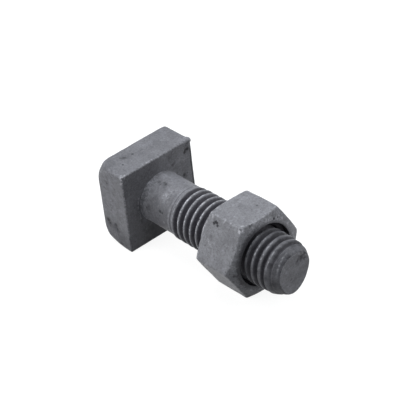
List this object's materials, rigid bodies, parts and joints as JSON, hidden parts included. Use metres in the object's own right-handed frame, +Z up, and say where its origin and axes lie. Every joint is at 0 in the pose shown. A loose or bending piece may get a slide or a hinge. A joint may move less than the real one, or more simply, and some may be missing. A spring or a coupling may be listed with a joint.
{
  "type": "square head bolt with hex nut",
  "caption": "Galvanised steel machine bolt with a forged square head, plain shank, right-hand rolled thread and a hex nut, for clamping timber or steel parts",
  "frame": {"origin": "On the table under the middle of the bolt's length, as it lies at rest", "axes": "+X along the bolt towards its threaded end, +Z up; the bolt's axis dips 1.46 degrees towards the threaded end, from the head's lower edge to the nut's lower flat"},
  "size_m": [0.0512, 0.0216, 0.0206],
  "materials": {
    "galvanised_steel": "hot-dip galvanised, dull and finely mottled"
  },
  "bodies": {
    "bolt": {"square_head_bolt": "galvanised_steel"},
    "nut": {"hex_nut": "galvanised_steel"}
  },
  "joints": [
    {"name": "nut_travel", "type": "slide", "parent": "bolt", "child": "nut", "axis": [0.9997, 0, -0.0256], "range_m": [-0.01172, 0.01954]}
  ]
}
